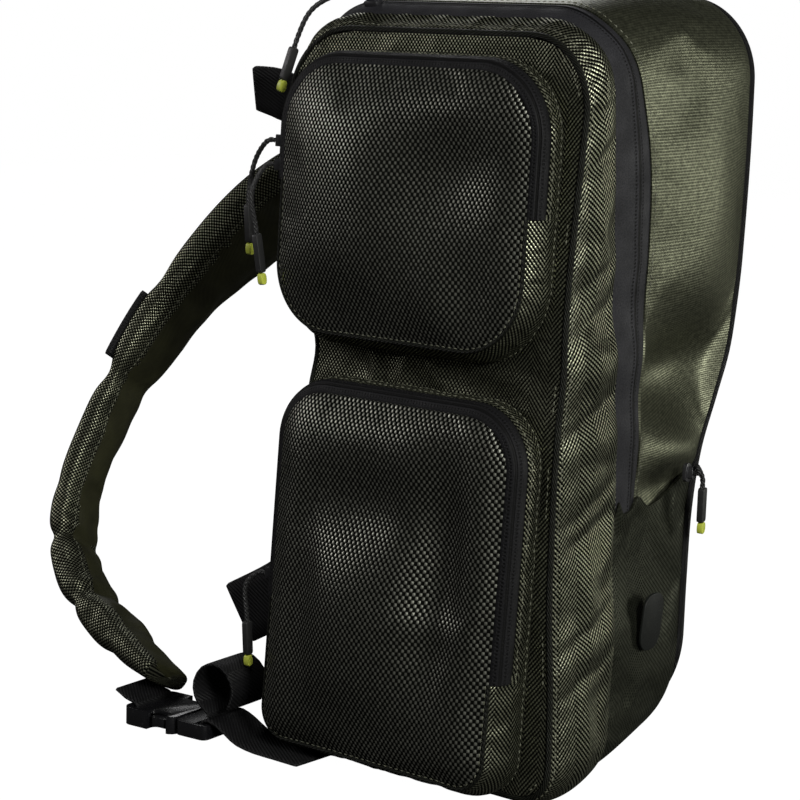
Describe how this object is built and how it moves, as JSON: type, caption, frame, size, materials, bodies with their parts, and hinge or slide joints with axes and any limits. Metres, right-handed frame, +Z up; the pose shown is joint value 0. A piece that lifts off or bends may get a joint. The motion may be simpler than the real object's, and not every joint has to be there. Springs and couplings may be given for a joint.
{
  "type": "fishing rucksack",
  "caption": "Upright soft sling rucksack with crowned zip pockets on its front, a padded back, one padded shoulder strap and a side-release buckle, for carrying fishing gear.",
  "frame": {"origin": "on the floor, on the flat base under the middle of the body", "axes": "+Z up, -Y toward the pocket side, +X to the right seen from the pockets"},
  "size_m": [0.4256, 0.2657, 0.4505],
  "materials": {
    "ballistic": "coarse two-tone nylon weave, dark olive",
    "satin": "fine diagonal nylon weave with a satin sheen, dark olive",
    "zip": "charcoal zip tape with a nylon coil",
    "webbing": "black woven webbing and braid",
    "padding": "black spacer mesh over foam",
    "plastic": "black moulded, glossy",
    "metal": "black enamel on cast zinc",
    "rubber": "black moulded, matt",
    "lime": "lime yellow moulded tip"
  },
  "bodies": {
    "root": {"front_panel": "ballistic", "front_gusset": "ballistic", "main_zip": "zip", "rear_gusset": "satin", "lower_body": "satin", "back_panel": "padding", "front_piping": "ballistic", "back_piping": "webbing", "upper_pocket": "ballistic", "upper_pocket_zip": "zip", "lower_pocket": "ballistic", "lower_pocket_zip": "zip", "shoulder_strap": "ballistic", "strap_keeper": "webbing", "strap_anchor": "webbing", "side_tab": "webbing", "top_tab": "webbing", "buckle_socket": "plastic", "buckle_prong": "plastic", "strap_webbing": "webbing", "base_webbing": "webbing", "webbing_loop": "webbing", "badge": "rubber", "puller_main_slider": "metal", "puller_main_cord": "webbing", "puller_main_grip": "rubber", "puller_main_tip": "lime", "puller_upper_left_slider": "metal", "puller_upper_left_cord": "webbing", "puller_upper_left_grip": "rubber", "puller_upper_left_tip": "lime", "puller_upper_right_slider": "metal", "puller_upper_right_cord": "webbing", "puller_upper_right_grip": "rubber", "puller_upper_right_tip": "lime", "puller_lower_slider": "metal", "puller_lower_cord": "webbing", "puller_lower_grip": "rubber", "puller_lower_tip": "lime", "puller_side_slider": "metal", "puller_side_cord": "webbing", "puller_side_grip": "rubber", "puller_side_tip": "lime"}
  },
  "joints": []
}
